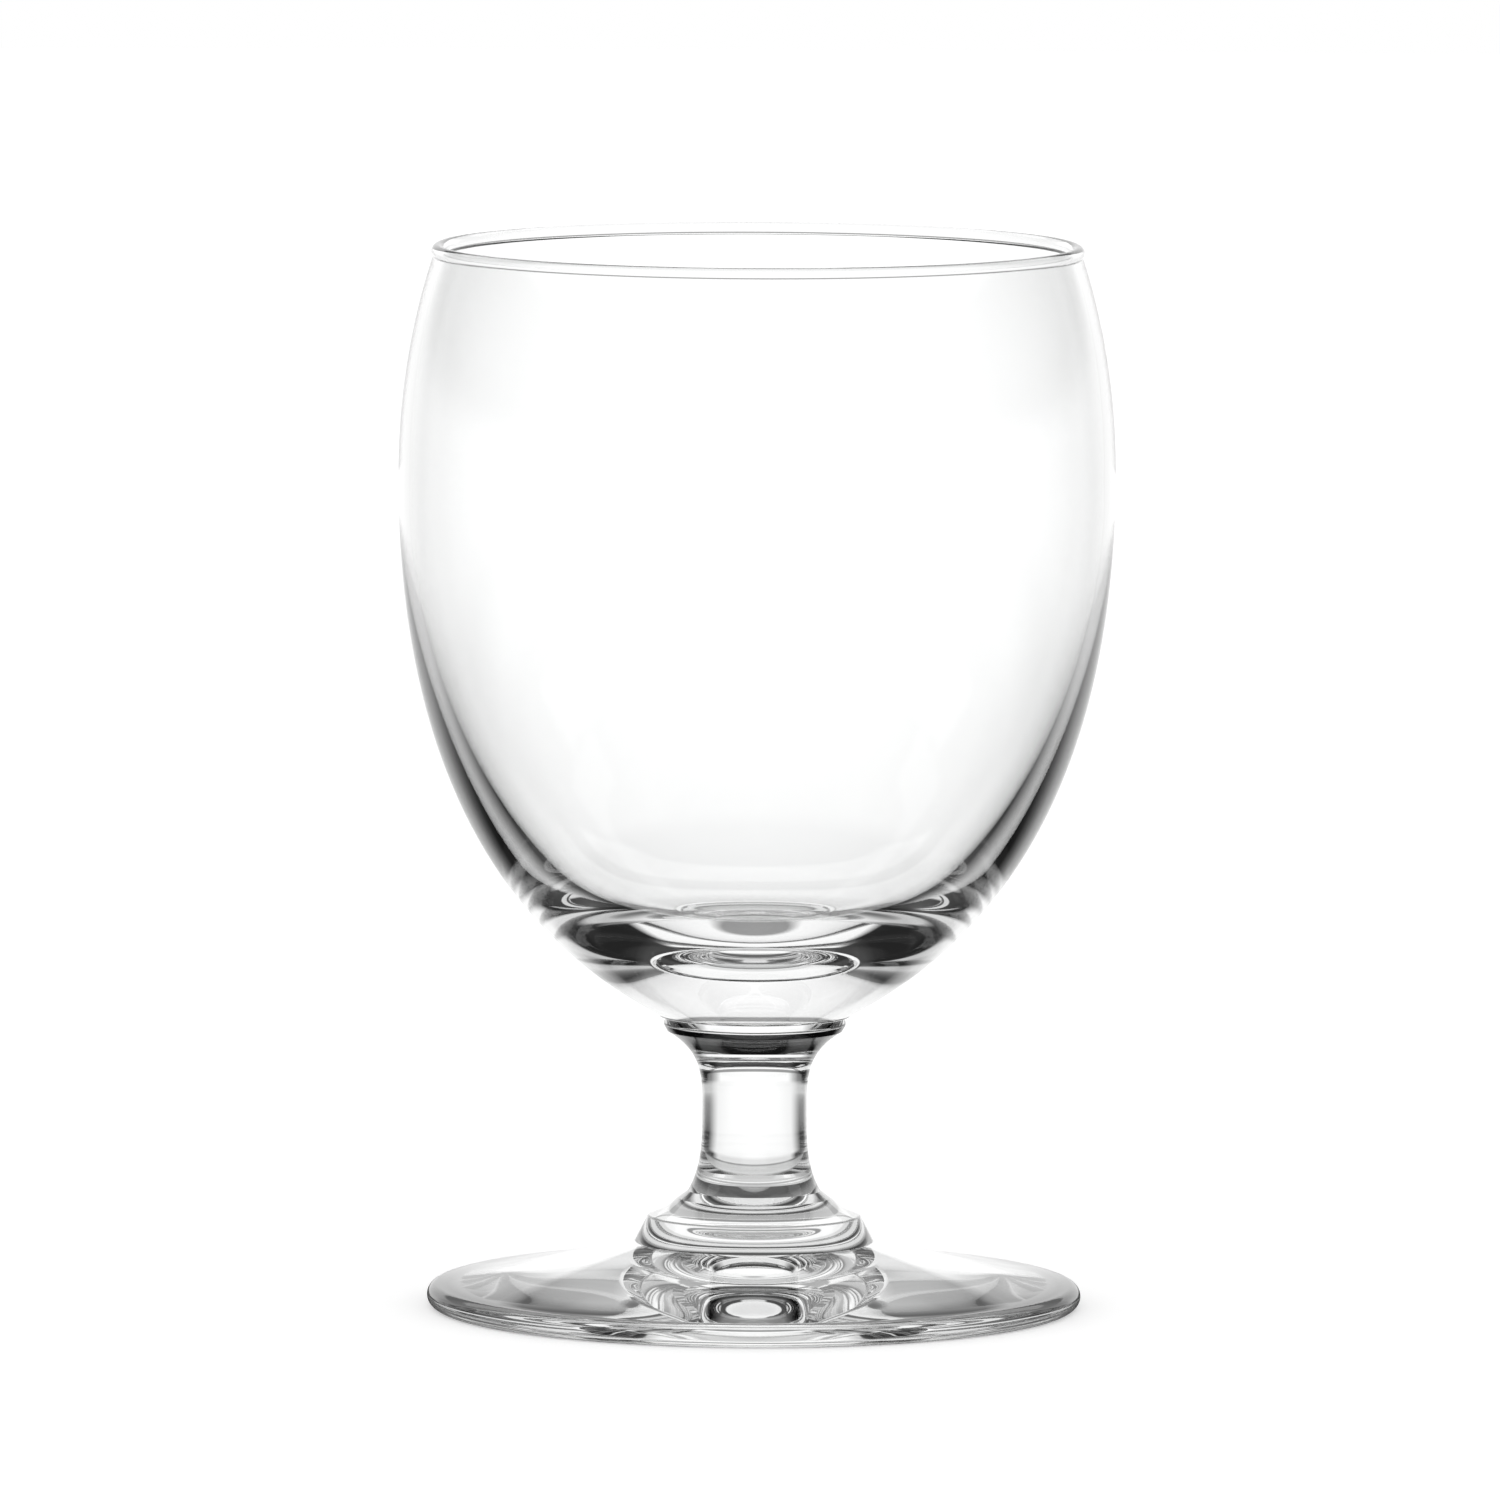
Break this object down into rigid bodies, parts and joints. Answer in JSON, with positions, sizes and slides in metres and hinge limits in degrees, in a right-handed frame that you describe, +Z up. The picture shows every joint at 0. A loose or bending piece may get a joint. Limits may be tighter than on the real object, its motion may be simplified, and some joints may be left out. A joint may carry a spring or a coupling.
{
  "type": "water goblet",
  "caption": "Stemmed water goblet in clear glass: egg-shaped bowl with a rounded rim, short waisted stem between collars, and a wide round foot.",
  "frame": {"origin": "centre of the ring that the foot stands on, on the table plane", "axes": "+Z up along the axis of the stem and bowl; X and Y are any two square directions, because the goblet is round"},
  "size_m": [0.084, 0.084, 0.125],
  "materials": {
    "bowl_glass": "clear, fire-polished glass",
    "stem_glass": "clear, solid pressed glass",
    "foot_glass": "clear pressed glass with a fire-polished edge"
  },
  "bodies": {
    "root": {"foot": "foot_glass", "foot_collar": "stem_glass", "stem": "stem_glass", "bowl_collar": "stem_glass", "bowl": "bowl_glass"}
  },
  "joints": []
}
